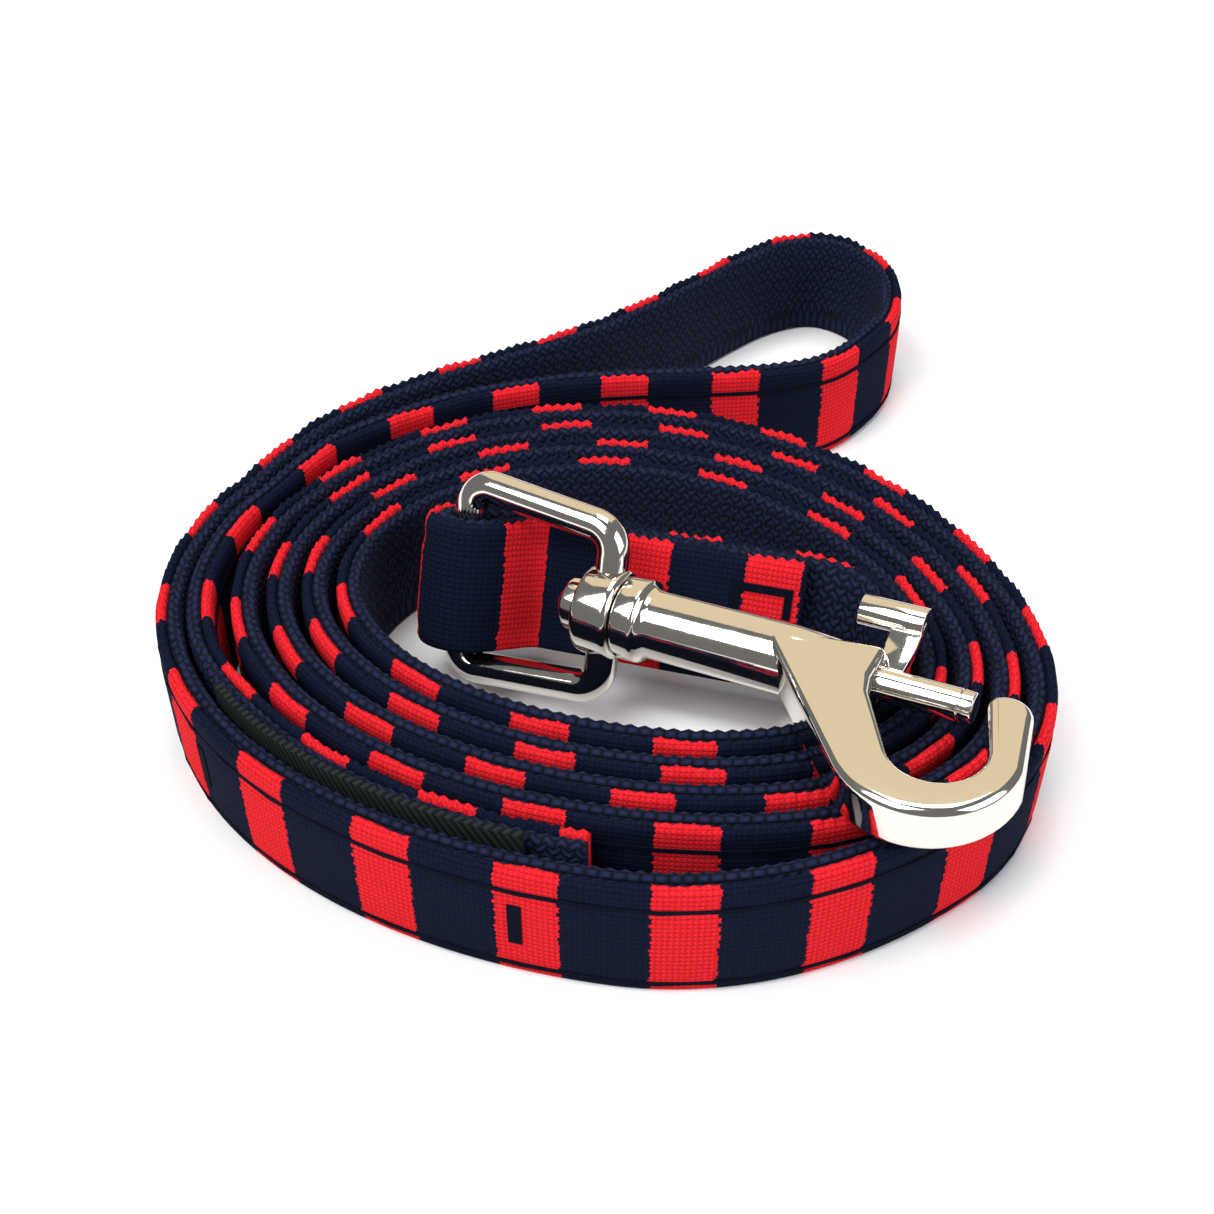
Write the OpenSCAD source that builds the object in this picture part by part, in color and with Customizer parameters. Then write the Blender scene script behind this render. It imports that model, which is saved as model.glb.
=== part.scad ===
// Flat strap lead, coiled up, with its swivel bolt snap lying on the coil.
// X runs across the coil, Y towards the hand loop, Z up. All sizes in millimetres.

/* [Strap] */
// Width of the strap, which is its height as it stands on edge in the coil
strap_w = 15; // [12:0.5:20]
// Thickness of the woven webbing
webbing_t = 1.6; // [1.2:0.1:1.8]
// Thickness of the knitted cover sewn to the outer face
knit_t = 1.3; // [0.8:0.1:1.5]
// How far the seam thread stands proud of the cover
seam_t = 0.15; // [0.1:0.05:0.2]
// Height of a row of seam thread
seam_w = 0.5; // [0.3:0.1:0.8]
// Upper seam, from the upper edge of the strap
upper_seam_in = 2.8; // [1.5:0.1:4]
// Lower seam, from the lower edge of the strap
lower_seam_in = 1.4; // [1:0.1:4]

/* [Coil] */
// Half length of the oval at turn nought
oval_long = 29.1; // [27:0.1:34]
// Half width of the oval at turn nought
oval_short = 19.5; // [18:0.1:24]
// How far the oval grows with each turn
turn_pitch = 3.8; // [3.7:0.1:5]
// Turn at which the coil begins, counted from the back
coil_from = 0.25; // [0.2:0.01:0.3]
// Turn at which the coil leaves for the hand loop
coil_to = 4.75; // [4.73:0.01:4.77]
// Angle of the long axis of the oval
oval_tilt = -20; // [-25:1:-15]
// How strongly the oval has three soft corners
corner_share = 0.03; // [0:0.005:0.04]

/* [Tucked end] */
// How far the outer turn stands out to make room for the tucked end
tuck_lift = 4.1; // [4:0.1:5.5]
// Gap between the tucked end and the outer turn
tuck_gap = 0.3; // [0.2:0.05:0.4]
// Turn at which the outer turn starts to stand out
lift_from = 4.33; // [4.3:0.01:4.36]
// Turn at which the tucked end stops
tuck_to = 4.47; // [4.45:0.01:4.5]
// Thickness of the twill tape sewn in beside the tucked end
tape_t = 0.7; // [0.5:0.1:1]
// How far the tape stands above the strap
tape_rise = 1.6; // [0.5:0.1:3]

/* [Snap end of the strap] */
// Heading of the doubled strap in plan
strip_heading = -15; // [-20:1:-10]
// How far the doubled strap leans back
strip_lean = 25; // [20:1:30]
// Length of the front layer from the bar to its sewn end
front_layer = 38; // [34:1:42]
// Length of the back layer from the bar to where it starts to turn
back_layer = 39; // [38:1:42]
// How far the doubled strap stands behind the bar
strip_back = 4.8; // [4.6:0.1:6]
// Gap between the bar and the strap wrapped round it
wrap_gap = 0.3; // [0.2:0.1:1]
// Height of the middle of the doubled strap above the floor
strip_z = 12.8; // [12:0.1:14]
// Gap between the two layers
layer_gap = 0.1; // [0.05:0.05:0.3]

/* [Swivel eye] */
// Radius of the wire of the eye
wire_r = 1.85; // [1.4:0.05:2.1]
// From the bar to the middle of the swivel collar
eye_len = 18.4; // [17:0.2:22]
// Length of the straight of the bar
bar_len = 15.8; // [15.4:0.1:17]
// How far the eye is pushed up the bar from the middle of the strap
eye_up = 0.5; // [0:0.1:0.6]
// Bend radius of the corners at the bar
bar_bend = 2.7; // [2.5:0.1:4]
// Bend radius of the corners at the collar
neck_bend = 2.8; // [2.4:0.1:3.4]
// Angle at which the side arms close in towards the collar
arm_angle = 6; // [4:1:7]
// Outer radius of the swivel collar
collar_r = 5; // [4.6:0.1:5.4]
// Length of the swivel collar
collar_len = 4.6; // [4:0.1:5.4]
// How far the eye is swung out of the plane of the strap
eye_swing = 15; // [14:0.5:17]

/* [Swivel pin] */
// Radius of the swivel pin
pin_r = 2.1; // [1.6:0.05:2.4]
// Radius of the head of the swivel pin
pin_head_r = 3.1; // [2.8:0.1:3.6]
// Length of the head of the swivel pin
pin_head_len = 3; // [2:0.1:3.5]
// Radial clearance of the pin in the collar
pin_fit = 0.06; // [0.02:0.01:0.1]
// Gap between the collar and what lies on either side of it
collar_gap = 0.15; // [0.1:0.05:0.3]

/* [Snap body] */
// Radius of the barrel
barrel_r = 3.8; // [3.6:0.1:4.2]
// Radius of the shoulder behind the barrel
shoulder_r = 4.6; // [4.4:0.1:5.2]
// Length of the shoulder
shoulder_len = 3.1; // [2:0.1:4]
// From the collar to the mouth of the barrel
mouth_x = 31.4; // [30:0.1:34]
// Radius of the barrel at its mouth
mouth_r = 3; // [2.8:0.05:3.4]
// Length over which the barrel narrows to its mouth
nose_len = 9.4; // [8:0.1:11]
// Half thickness of the hook plate round the bowl
hook_half_t = 2.6; // [2:0.1:3]
// Roll of the hook about the barrel, so that the plate lies level
snap_roll = 24.5; // [20:0.5:30]

/* [Hook bowl] */
// Inner radius of the bowl
bowl_r = 4.7; // [4.4:0.1:5]
// From the barrel mouth to the middle of the bowl
bowl_x = 9; // [8.6:0.1:9.4]
// From the barrel axis to the middle of the bowl
bowl_drop = 8.7; // [8.4:0.1:9.2]
// Width of the hook metal below the bowl
hook_metal = 4.8; // [4.4:0.1:5.2]
// How far the round of the outside is set back from the middle of the bowl
outer_set_back = 1.1; // [0.8:0.1:1.4]

/* [Trigger bolt] */
// Radius of the bolt
bolt_r = 1.7; // [1.4:0.05:1.8]
// Radial clearance of the bolt in its bore
bolt_fit = 0.05; // [0.02:0.01:0.1]
// Travel of the bolt
bolt_travel = 8.5; // [6:0.5:9]
// Radius of the spring chamber
chamber_r = 2.5; // [2.4:0.1:2.7]
// Length of the guide on the inner end of the bolt
guide_len = 1.7; // [1.2:0.1:2.5]
// Gap between the end of the bolt and the tip of the hook
gate_gap = 0.3; // [0.1:0.1:0.8]

/* [Thumb tab] */
// Thickness of the sheet of the tab
tab_t = 1.2; // [0.8:0.1:1.4]
// Angle of the stem above the plate of the hook
tab_angle = 17; // [12:1:25]
// Distance of the pad from the barrel axis
tab_reach = 8; // [7.6:0.1:9]
// Length of the pad along the barrel
pad_len = 7; // [6:0.2:9]
// Width of the pad
pad_w = 3.6; // [3:0.1:4]
// Side clearance of the stem in its slot
slot_gap = 0.3; // [0.2:0.05:0.5]

/* [Bolt spring] */
// Radius of the spring wire
spring_wire_r = 0.25; // [0.2:0.05:0.3]
// Mean radius of the spring
spring_r = 1.9; // [1.6:0.05:2.1]
// Number of turns
spring_turns = 6; // [4:1:6]

/* [Hidden] */
$fn = 48;
navy = "#1c2338";
dark_navy = "#151a28";
nickel = "#d5d2cb";
strap_t = webbing_t + knit_t;
// Distance from the middle of the strap to the face between webbing and cover
between = webbing_t - strap_t / 2;

// The lead is moved by this much in plan, so that its box is centred
centring = [0.45, 1.36];
// Middle of the coil in plan, and the bar of the eye
coil_middle = [3.1, -22.3] + centring;
bar_middle = [-15.2, -16.9] + centring;
// Middle of the strap round the hand loop, from the coil to the tucked end
hand_loop_route = [[-42, -0.5], [-38.2, 6.6], [-32.5, 14], [-25, 20], [-17, 25], [-9, 29.5], [-1, 34.5], [6, 40],
    [13, 46.5], [19, 52.5], [25, 57.5], [31, 60], [36, 58.5], [40, 53.5], [41.5, 46.5], [40, 38.5],
    [36, 32], [30.5, 26.5], [23.5, 24], [14, 23], [5, 22.5], [-4, 21.5], [-12, 19.5], [-19, 17],
    [-26, 13], [-31.5, 9], [-35.5, 4.5], [-39, -2]];

// ---- small helpers ----
function smooth(t) = let (c = min(1, max(0, t))) c * c * (3 - 2 * c);
function unit(v) = v / norm(v);
function left_of(v) = [-v[1], v[0]];
function heading(a) = [cos(a), sin(a)];

// ---- the coil: an oval that grows with each turn, counted clockwise from the back ----
function oval(turn, grow) =
    let (a = 360 * turn, k = 1 + corner_share * cos(3 * (a + 8)),
         x = (oval_long + grow) * sin(a) * k, y = (oval_short + grow) * cos(a) * k)
    coil_middle + [x * cos(oval_tilt) - y * sin(oval_tilt), x * sin(oval_tilt) + y * cos(oval_tilt)];
function grown(turn) = turn_pitch * turn + tuck_lift * smooth((turn - lift_from) / 0.13);
function coil_at(turn) = oval(turn, grown(turn));
// The tucked end lies inside the outer turn, with room for the tape where that is sewn in
function tape_room(turn) = (tape_t + tuck_gap) * smooth((4.66 - turn) / 0.06);
function tucked_at(turn) = oval(turn, grown(turn) - strap_t - tuck_gap - tape_room(turn));

// ---- the hand loop: a smooth curve through its route ----
function through(p, q, r, s, t) =
    0.5 * (2 * q + (r - p) * t + (2 * p - 5 * q + 4 * r - s) * t * t
        + (3 * q - p - 3 * r + s) * t * t * t);
loop_knots = concat([coil_at(coil_to - 0.02), coil_at(coil_to)],
    [for (p = hand_loop_route) p + centring],
    [tucked_at(coil_to), tucked_at(coil_to - 0.02)]);
loop_steps = 4;
loop_points = [for (i = [1:len(loop_knots) - 3], j = [0:loop_steps - 1])
    through(loop_knots[i - 1], loop_knots[i], loop_knots[i + 1], loop_knots[i + 2], j / loop_steps)];
coil_steps = 46;
coil_count = round((coil_to - coil_from) * coil_steps);
coil_points = [for (i = [0:coil_count - 1])
    coil_at(coil_from + (coil_to - coil_from) * i / coil_count)];
tuck_count = 18;
tuck_points = [for (i = [0:tuck_count])
    tucked_at(coil_to - (coil_to - tuck_to) * i / tuck_count)];
strap_points = concat(coil_points, loop_points, tuck_points);
strap_last = len(strap_points) - 1;

// Direction of a row of points at point i, and its left-hand side
function along(points, i) =
    unit(points[min(i + 1, len(points) - 1)] - points[max(i - 1, 0)]);
function side(points, i, off) = points[i] + off * left_of(along(points, i));

// A run of the strap between two offsets from its middle, standing on edge
module run(points, first, last, low, high, z0, h) {
    translate([0, 0, z0])
        linear_extrude(h)
            polygon(concat([for (i = [first:last]) side(points, i, high)],
                [for (i = [last:-1:first]) side(points, i, low)]));
}

module coil_webbing() {
    color(dark_navy) run(strap_points, 0, len(coil_points), -strap_t / 2, between, 0, strap_w);
}
module coil_knit() {
    color(navy) run(strap_points, 0, len(coil_points), between, strap_t / 2, 0, strap_w);
}
module hand_loop_webbing() {
    color(dark_navy)
        run(strap_points, len(coil_points), strap_last, -strap_t / 2, between, 0, strap_w);
}
module hand_loop_knit() {
    color(navy) run(strap_points, len(coil_points), strap_last, between, strap_t / 2, 0, strap_w);
}
module seam_row(z) {
    run(strap_points, 0, strap_last, strap_t / 2, strap_t / 2 + seam_t, z - seam_w / 2, seam_w);
}
module upper_seam_thread() {
    color(navy) seam_row(strap_w - upper_seam_in);
}
module lower_seam_thread() {
    color(navy) seam_row(lower_seam_in);
}

// ---- the tape and the tacks of the tucked end ----
tape_from = 4.49;
tape_to = 4.62;
tape_points = [for (i = [0:10]) let (turn = tape_to - (tape_to - tape_from) * i / 10)
    oval(turn, grown(turn) - strap_t / 2 - tuck_gap / 2 - tape_t / 2 - 0.05)];
module twill_tape() {
    color("#2c3033")
        run(tape_points, 0, len(tape_points) - 1, -tape_t / 2, tape_t / 2, 1, strap_w - 1 + tape_rise);
}
bartack_turns = [4.49, 4.615];
bartack_h = strap_w - 4;
module hand_loop_bartacks() {
    color(dark_navy)
        for (turn = bartack_turns)
            let (p = coil_at(turn), d = unit(coil_at(turn + 0.005) - coil_at(turn - 0.005)),
                 q = p + (strap_t / 2 + seam_t / 2) * left_of(d))
                translate([q[0], q[1], strap_w / 2])
                    rotate([0, 0, atan2(d[1], d[0])])
                        cube([1.4, seam_t, upper_seam_in * 2], center = true);
}

// ---- the doubled strap at the snap end, in a frame that leans back on the bar ----
bar_half = bar_len / 2;
wrap_r = wire_r + wrap_gap + strap_t / 2;
module strip_frame() {
    translate([bar_middle[0], bar_middle[1], strip_z])
        rotate([0, 0, strip_heading]) rotate([-strip_lean, 0, 0]) children();
}
layer_half = (strap_t + layer_gap) / 2;
part_len = 9;
function strip_middle(x) = strip_back * smooth(x / part_len);
function layer_side(x) = layer_half + (wrap_r - layer_half) * smooth(1 - (x - 1) / (part_len - 1));
front_points = [for (i = [0:16]) let (x = front_layer * (1 - i / 16)) if (x > 0)
    [x, strip_middle(x) - layer_side(x)]];
wrap_points = [for (a = [-90:-15:-270]) wrap_r * heading(a)];
back_points = [for (i = [1:16]) let (x = back_layer * i / 16) [x, strip_middle(x) + layer_side(x)]];
snap_end_points = concat(front_points, wrap_points, back_points);
module snap_end_run(low, high) {
    strip_frame()
        run(snap_end_points, 0, len(snap_end_points) - 1, low, high, -strap_w / 2, strap_w);
}
module snap_end_webbing() {
    color(dark_navy) snap_end_run(-strap_t / 2, between);
}
module snap_end_knit() {
    color(navy) snap_end_run(between, strap_t / 2);
}
// Thread of the box stitch, on the cover of the front layer near its end
box_len = 6;
box_h = 9;
box_thread = 0.9;
module snap_end_stitching() {
    color(dark_navy)
        strip_frame()
            translate([front_layer - box_len / 2 - 1.5, strip_back - layer_half - strap_t / 2 - seam_t / 2, 0])
                for (s = [-1, 1]) {
                    translate([s * box_len / 2, 0, 0])
                        cube([box_thread, seam_t, box_h], center = true);
                    translate([0, 0, s * (box_h / 2 - box_thread / 2)])
                        cube([box_len - box_thread, seam_t, box_thread], center = true);
                }
}

// ---- the innermost turn, which twists from leaning to upright ----
function lean_back(p, off, up) =
    let (s = strip_heading, l = strip_lean,
         side_dir = [-sin(s) * cos(l), cos(s) * cos(l), -sin(l)],
         up_dir = [-sin(s) * sin(l), cos(s) * sin(l), cos(l)])
    [bar_middle[0], bar_middle[1], strip_z] + p * [cos(s), sin(s), 0] + off * side_dir + up * up_dir;
turn_start = lean_back(back_layer, strip_back + layer_half, 0);
turn_end = [coil_points[0][0], coil_points[0][1], strap_w / 2];
turn_out = along(strap_points, 0);
turn_pull = 7;
function bezier(a, b, c, d, t) =
    a * pow(1 - t, 3) + 3 * b * t * pow(1 - t, 2) + 3 * c * t * t * (1 - t) + d * pow(t, 3);
function turn_at(t) = bezier(turn_start,
    turn_start + turn_pull * [cos(strip_heading), sin(strip_heading), 0],
    turn_end - turn_pull * [turn_out[0], turn_out[1], 0], turn_end, t);
turn_steps = 16;
end_heading = atan2(turn_out[1], turn_out[0]);
function turn_dir(t) =
    t == 0 ? heading(strip_heading) : t == 1 ? turn_out :
    let (d = turn_at(t + 0.01) - turn_at(t - 0.01)) unit([d[0], d[1]]);
function turn_corner(t, off, up) =
    let (l = strip_lean * (1 - smooth(1.5 * t)), d = turn_dir(t), n = left_of(d))
    turn_at(t) + off * [n[0] * cos(l), n[1] * cos(l), -sin(l)] + up * [n[0] * sin(l), n[1] * sin(l), cos(l)];
module inner_turn(low, high) {
    rings = [for (i = [0:turn_steps]) let (t = i / turn_steps)
        [turn_corner(t, low, -strap_w / 2), turn_corner(t, high, -strap_w / 2),
         turn_corner(t, high, strap_w / 2), turn_corner(t, low, strap_w / 2)]];
    points = [for (ring = rings, p = ring) p];
    sides = [for (i = [0:turn_steps - 1], j = [0:3])
        let (a = 4 * i + j, b = 4 * i + (j + 1) % 4) each [[a, b, b + 4], [a, b + 4, a + 4]]];
    polyhedron(points, concat(sides, [[2, 1, 0], [3, 2, 0]],
        [[0, 1, 2] + 4 * turn_steps * [1, 1, 1], [0, 2, 3] + 4 * turn_steps * [1, 1, 1]]));
}
module inner_turn_webbing() {
    color(dark_navy) inner_turn(-strap_t / 2, between);
}
module inner_turn_knit() {
    color(navy) inner_turn(between, strap_t / 2);
}

// ---- the swivel eye, drawn with its bar up Z and its collar at the origin ----
module eye_frame() {
    strip_frame() rotate([0, 0, -eye_swing]) translate([eye_len, 0, eye_up]) children();
}
arm_run = eye_len - bar_bend - neck_bend;
neck_h = bar_half - (neck_bend - bar_bend + arm_run * sin(arm_angle)) / cos(arm_angle);
// A bend of the wire in the XZ plane, from one angle to another about a middle
module bend(middle, r, from, to) {
    translate([middle[0], 0, middle[1]])
        rotate([90, 0, 0])
            rotate([0, 0, from])
                rotate_extrude(angle = to - from) translate([r, 0]) circle(wire_r);
}
// A straight of the wire, a hair thinner than the bends it runs into at both ends
lap = 0.2;
module rod(p, q) {
    d = q - p;
    translate([p[0], 0, p[1]])
        rotate([0, atan2(d[0], d[1]), 0])
            translate([0, 0, -lap]) cylinder(r = wire_r - 0.03, h = norm(d) + 2 * lap);
}
module eye_half() {
    bar_bend_mid = [bar_bend - eye_len, bar_half];
    neck_bend_mid = [-neck_bend, neck_h];
    out = [sin(arm_angle), cos(arm_angle)];
    bend(bar_bend_mid, bar_bend, 90 - arm_angle, 180);
    rod(bar_bend_mid + bar_bend * out, neck_bend_mid + neck_bend * out);
    bend(neck_bend_mid, neck_bend, 0, 90 - arm_angle);
    rod([0, neck_h], [0, pin_r + 1]);
}
module swivel_eye() {
    color(nickel)
        eye_frame()
            difference() {
                union() {
                    rod([-eye_len, -bar_half], [-eye_len, bar_half]);
                    eye_half();
                    mirror([0, 0, 1]) eye_half();
                    rotate([0, 90, 0]) cylinder(r = collar_r, h = collar_len, center = true);
                }
                rotate([0, 90, 0])
                    cylinder(r = pin_r + pin_fit, h = collar_len + 2 * wire_r + 2, center = true);
            }
}

// ---- the snap, drawn with its barrel along X and its plate level ----
module snap_frame() {
    eye_frame() rotate([snap_roll, 0, 0]) children();
}
module tube_x(from, to, r) {
    translate([from, 0, 0]) rotate([0, 90, 0]) cylinder(r = r, h = to - from);
}
pin_seat = 5;
shoulder_x = collar_len / 2 + collar_gap;
barrel_x = shoulder_x + shoulder_len;
chamber_x = shoulder_x + pin_seat;
nose_x = mouth_x - nose_len;
module swivel_pin() {
    color(nickel)
        snap_frame() {
            tube_x(-shoulder_x, chamber_x, pin_r);
            tube_x(-shoulder_x - pin_head_len, -shoulder_x, pin_head_r);
        }
}

// Outline of the hook plate, from the barrel round the bowl to the tip
bowl = [mouth_x + bowl_x, -bowl_drop];
outer_r = bowl_r + hook_metal;
tip_r = 2.6;
outer_middle = bowl - [outer_set_back, 0];
tip = outer_middle + [outer_r - tip_r - 1.3, bowl_drop - 2];
tip_face = 10.2;
flank_start = [nose_x - 2.4, -1];
// Angle at which the straight flank touches the round of the bowl
flank_d = outer_middle - flank_start;
flank_a = atan2(flank_d[1], flank_d[0]) - asin(outer_r / norm(flank_d)) - 90;
module hook_outline() {
    polygon(concat(
        [flank_start],
        [for (a = [flank_a + 360:6:360]) outer_middle + outer_r * heading(a)],
        [for (a = [0:15:150]) tip + [tip_r * cos(a), tip_r * sin(a)]],
        [[mouth_x + tip_face, tip[1] + 1], [mouth_x + tip_face, -2], [mouth_x, -2],
         [mouth_x, 0], [nose_x - 2.4, 0.5]]));
}
// Upper part of the throat, between the barrel mouth and the tip
module throat_outline() {
    r = 1.6;
    hull() {
        translate(bowl + [0, 1]) circle(bowl_r - 0.3);
        translate([mouth_x + r + 0.1, -3.6]) circle(r);
        translate([mouth_x + tip_face - 2, -2.4]) circle(2);
        translate([mouth_x + 0.8, 6]) square([tip_face - 0.9, 1]);
        translate([mouth_x + 0.1, 1]) square([tip_face - 0.1, 5]);
    }
}
throat_h = 12;
module snap_body() {
    color(nickel)
        snap_frame()
            difference() {
                union() {
                    tube_x(shoulder_x, barrel_x, shoulder_r);
                    tube_x(barrel_x, nose_x, barrel_r);
                    translate([nose_x, 0, 0]) rotate([0, 90, 0])
                        cylinder(r1 = barrel_r, r2 = mouth_r, h = nose_len);
                    intersection() {
                        translate([0, 0, -barrel_r]) linear_extrude(2 * barrel_r) hook_outline();
                        plate_wedge();
                    }
                }
                tube_x(shoulder_x - 1, chamber_x, pin_r);
                tube_x(chamber_x, nose_x, chamber_r);
                tube_x(nose_x - 1, mouth_x + tip_face + 1, bolt_r + bolt_fit);
                translate([bowl[0], bowl[1], -throat_h / 2]) cylinder(r = bowl_r, h = throat_h);
                translate([0, 0, -throat_h / 2]) linear_extrude(throat_h) throat_outline();
                rotate([tab_angle, 0, 0])
                    translate([nose_x - 0.3, 0, -tab_t / 2 - slot_gap])
                        cube([nose_len + 1.7, barrel_r + 1, tab_t + 2 * slot_gap]);
            }
}
// The plate thins from the barrel to the bowl
wedge_x = nose_x + nose_len * (barrel_r - hook_half_t) / (barrel_r - mouth_r);
module plate_wedge() {
    translate([0, 20, 0]) rotate([90, 0, 0])
        linear_extrude(60)
            polygon([[nose_x - 3, barrel_r - 0.05], [nose_x, barrel_r - 0.05],
                [wedge_x, hook_half_t], [wedge_x + 30, hook_half_t],
                [wedge_x + 30, -hook_half_t], [nose_x - 3, -hook_half_t]]);
}

// ---- the trigger: bolt, thumb tab and spring ----
bolt_end = mouth_x + tip_face - gate_gap;
guide_r = chamber_r - bolt_fit;
module trigger_bolt() {
    color(nickel)
        snap_frame() {
            tube_x(nose_x - 0.1 - guide_len, nose_x - 0.1, guide_r);
            tube_x(nose_x - 0.1, bolt_end - 0.5, bolt_r);
            translate([bolt_end - 0.5, 0, 0]) rotate([0, 90, 0])
                cylinder(r1 = bolt_r, r2 = bolt_r - 0.5, h = 0.5);
        }
}
stem_x = mouth_x - 0.9;
stem_len = 2.8;
pad_x = stem_x + stem_len + 0.3 - pad_len;
module thumb_tab() {
    color(nickel)
        snap_frame()
            rotate([tab_angle, 0, 0]) {
                translate([0, 0, -tab_t / 2])
                    linear_extrude(tab_t)
                        polygon([[stem_x, bolt_r - 0.1], [stem_x + stem_len, bolt_r - 0.1],
                            [stem_x + stem_len + 0.3, tab_reach - pad_w], [stem_x + stem_len + 0.3, tab_reach],
                            [pad_x + 3.8, tab_reach], [pad_x + 3.8, tab_reach - pad_w],
                            [stem_x, barrel_r + 0.3]]);
                translate([pad_x, tab_reach, 0]) rotate([0, 90, 0]) linear_extrude(pad_len)
                    difference() {
                        circle(pad_w / 2);
                        circle(pad_w / 2 - tab_t / 2);
                        translate([0, -pad_w]) square([pad_w, 2 * pad_w]);
                    }
            }
}
spring_x = chamber_x + 0.1 + spring_wire_r;
spring_len = nose_x - 0.1 - guide_len - 0.1 - spring_wire_r - spring_x;
spring_steps = 16;
spring_sides = 8;
module bolt_spring() {
    count = spring_turns * spring_steps;
    points = [for (i = [0:count], j = [0:spring_sides - 1])
        let (a = 360 * i / spring_steps, b = 360 * j / spring_sides, r = spring_r + spring_wire_r * cos(b))
        [spring_x + spring_len * i / count + spring_wire_r * sin(b), r * cos(a), r * sin(a)]];
    sides = [for (i = [0:count - 1], j = [0:spring_sides - 1])
        let (k = (j + 1) % spring_sides, a = spring_sides * i + j, b = spring_sides * i + k,
             c = a + spring_sides, d = b + spring_sides)
        each [[a, d, b], [a, c, d]]];
    last = spring_sides * count;
    caps = [for (j = [1:spring_sides - 2]) each [[0, j, j + 1], [last, last + j + 1, last + j]]];
    color(nickel) snap_frame() polyhedron(points, concat(sides, caps));
}

snap_end_webbing();
snap_end_knit();
inner_turn_webbing();
inner_turn_knit();
coil_webbing();
coil_knit();
hand_loop_webbing();
hand_loop_knit();
upper_seam_thread();
lower_seam_thread();
snap_end_stitching();
hand_loop_bartacks();
twill_tape();
swivel_eye();
swivel_pin();
snap_body();
bolt_spring();
trigger_bolt();
thumb_tab();
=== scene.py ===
# %% [markdown]
# # A strap lead, coiled up, with its swivel bolt snap
# The lead is one long flat strap: woven webbing with a knitted, striped cover sewn to one face.
# It is wound on edge, so the coil is a spiral standing on the table, and the hand loop stands out
# behind it. The metal snap lies on the coil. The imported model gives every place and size.
# Lengths are written in millimetres and turned to metres when a piece is placed.

import math

import bpy
from mathutils import Matrix, Vector


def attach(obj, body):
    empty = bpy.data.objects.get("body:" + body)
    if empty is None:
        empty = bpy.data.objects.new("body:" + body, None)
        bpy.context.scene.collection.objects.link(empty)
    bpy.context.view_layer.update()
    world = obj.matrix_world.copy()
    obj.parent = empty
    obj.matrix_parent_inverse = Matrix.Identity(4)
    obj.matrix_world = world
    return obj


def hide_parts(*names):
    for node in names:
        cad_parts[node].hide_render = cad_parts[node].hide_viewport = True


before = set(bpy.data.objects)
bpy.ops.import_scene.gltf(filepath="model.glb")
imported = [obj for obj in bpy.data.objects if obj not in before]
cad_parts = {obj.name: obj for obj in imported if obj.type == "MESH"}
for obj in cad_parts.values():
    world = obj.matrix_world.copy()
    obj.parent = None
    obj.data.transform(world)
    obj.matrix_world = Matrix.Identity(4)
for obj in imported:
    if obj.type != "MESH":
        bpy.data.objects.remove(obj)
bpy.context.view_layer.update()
MM = 0.001

# %% [markdown]
# ## Camera
# The camera looks 41 degrees down along +Y, a hand's length from the coil. It comes before the
# pieces, because the lead is judged from there first.

# %% Camera
bpy.ops.object.select_all(action="DESELECT")
bpy.ops.object.camera_add(location=(1.35 * MM, -155.4 * MM, 130 * MM), rotation=(math.radians(49), 0, 0))
camera = bpy.context.object
camera.name = "camera"
camera.data.lens = 47.45
camera.data.sensor_width = 36
camera.data.clip_start = 0.01
bpy.context.scene.camera = camera
print("camera", tuple(round(v, 4) for v in camera.location))

# %% [markdown]
# ## The strap's path
# The path has seven stretches: the front layer of the sewn end, its wrap round the bar of the eye,
# the back layer, a short turn into the coil, the coil itself, the hand loop, and the end tucked
# back inside the outer turn. The formulas are the part's own, so the cloth lies where the solids are.

# %% Sizes shared with the part
STRAP_W = 15.0
WEBBING_T = 1.6
KNIT_T = 1.3
STRAP_T = WEBBING_T + KNIT_T
BETWEEN = WEBBING_T - STRAP_T / 2
CENTRING = (0.45, 1.36)
COIL_MIDDLE = (3.1 + CENTRING[0], -22.3 + CENTRING[1])
OVAL_LONG, OVAL_SHORT, OVAL_HEADING = 29.1, 19.5, -20
TURN_PITCH = 3.8
COIL_FROM, COIL_TO = 0.25, 4.75
COIL_STEPS = 900
TUCK_TO = 4.47
TUCK_ROOM, TUCK_GAP, TAPE_ROOM = 4.1, 0.3, 1.0
WIRE_R = 1.85


def smooth(t):
    t = min(1.0, max(0.0, t))
    return t * t * (3 - 2 * t)


# %% Coil: an oval with three soft corners that grows with each turn
def oval(turn, grow):
    a = math.radians(360 * turn)
    k = 1 + 0.03 * math.cos(3 * (a + math.radians(8)))
    x = (OVAL_LONG + grow) * math.sin(a) * k
    y = (OVAL_SHORT + grow) * math.cos(a) * k
    c, s = math.cos(math.radians(OVAL_HEADING)), math.sin(math.radians(OVAL_HEADING))
    return Vector((COIL_MIDDLE[0] + x * c - y * s, COIL_MIDDLE[1] + x * s + y * c))


def grown(turn):
    return TURN_PITCH * turn + TUCK_ROOM * smooth((turn - 4.33) / 0.13)


def coil_at(turn):
    return oval(turn, grown(turn))


def tucked_at(turn):
    tape_room = TAPE_ROOM * smooth((4.66 - turn) / 0.06)
    return oval(turn, grown(turn) - STRAP_T - TUCK_GAP - tape_room)


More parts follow.
